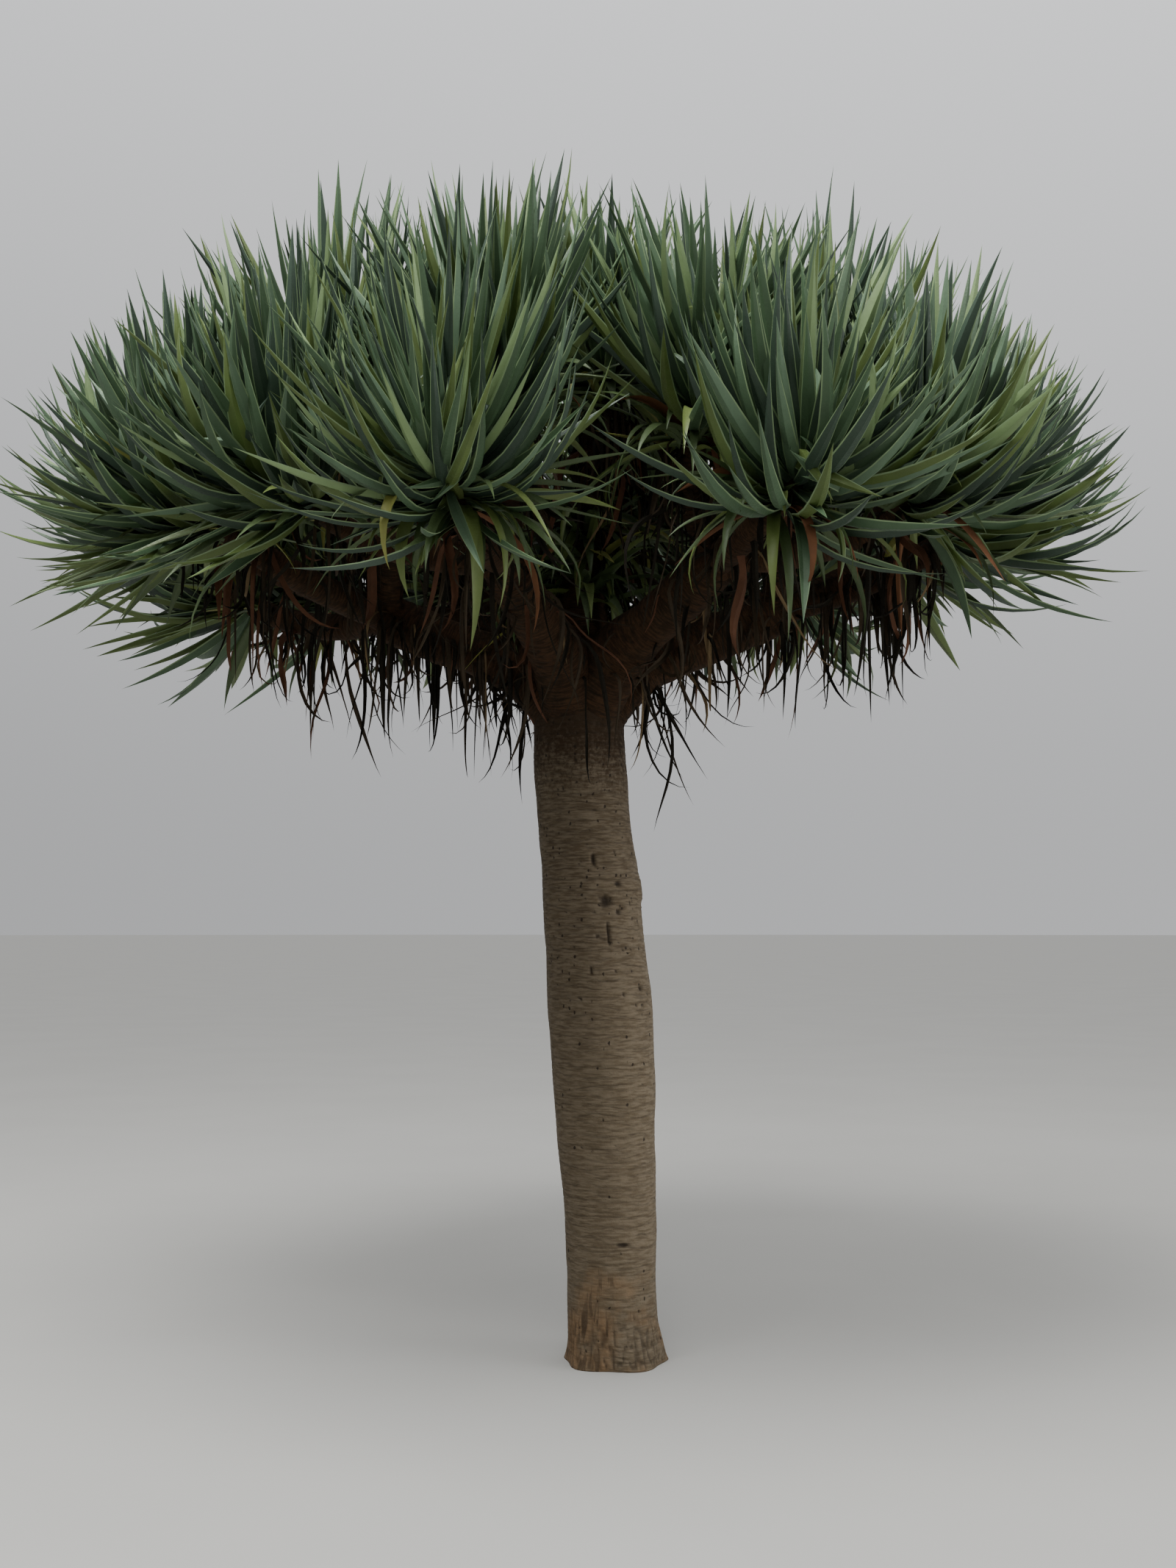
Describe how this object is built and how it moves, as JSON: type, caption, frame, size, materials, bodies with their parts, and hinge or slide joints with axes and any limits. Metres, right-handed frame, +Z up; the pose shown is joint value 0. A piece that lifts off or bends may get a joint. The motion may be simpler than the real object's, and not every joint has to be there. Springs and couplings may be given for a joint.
{
  "type": "dragon tree",
  "caption": "Dragon tree with a bare, slightly leaning trunk, stout spreading boughs and a flat-topped dome of sword-leaf rosettes.",
  "frame": {"origin": "centre of the flat cut under the trunk, at ground level", "axes": "+Z straight up, away from the ground cut; the pictured side faces -Y, and +X is to the right of the picture"},
  "size_m": [4.0495, 3.8577, 4.1057],
  "materials": {
    "trunk_bark": "rough grey-brown bark with fine ring scars",
    "bough_bark": "rough brown bark with ring scars",
    "leaves": "satin glaucous grey-green"
  },
  "bodies": {
    "root": {"trunk": "trunk_bark", "bough_right": "bough_bark", "bough_front_right": "bough_bark", "bough_front_left": "bough_bark", "bough_left": "bough_bark", "bough_back_left": "bough_bark", "bough_back_right": "bough_bark", "bough_middle": "bough_bark", "limb_top_01": "bough_bark", "limb_top_02": "bough_bark", "limb_top_03": "bough_bark", "limb_inner_01": "bough_bark", "limb_inner_02": "bough_bark", "limb_inner_03": "bough_bark", "limb_inner_04": "bough_bark", "limb_inner_05": "bough_bark", "limb_inner_06": "bough_bark", "limb_inner_07": "bough_bark", "limb_inner_08": "bough_bark", "limb_outer_01": "bough_bark", "limb_outer_02": "bough_bark", "limb_outer_03": "bough_bark", "limb_outer_04": "bough_bark", "limb_outer_05": "bough_bark", "limb_outer_06": "bough_bark", "limb_outer_07": "bough_bark", "limb_outer_08": "bough_bark", "limb_outer_09": "bough_bark", "limb_outer_10": "bough_bark", "limb_outer_11": "bough_bark", "limb_outer_12": "bough_bark", "limb_outer_13": "bough_bark", "limb_outer_14": "bough_bark", "foliage_outer_01": "leaves", "foliage_outer_02": "leaves", "foliage_outer_03": "leaves", "foliage_outer_04": "leaves", "foliage_outer_05": "leaves", "foliage_outer_06": "leaves", "foliage_outer_07": "leaves", "foliage_outer_08": "leaves", "foliage_outer_09": "leaves", "foliage_outer_10": "leaves", "foliage_outer_11": "leaves", "foliage_outer_12": "leaves", "foliage_outer_13": "leaves", "foliage_outer_14": "leaves", "foliage_inner_01": "leaves", "foliage_inner_02": "leaves", "foliage_inner_03": "leaves", "foliage_inner_04": "leaves", "foliage_inner_05": "leaves", "foliage_inner_06": "leaves", "foliage_inner_07": "leaves", "foliage_inner_08": "leaves", "foliage_top_01": "leaves", "foliage_top_02": "leaves", "foliage_top_03": "leaves"}
  },
  "joints": []
}
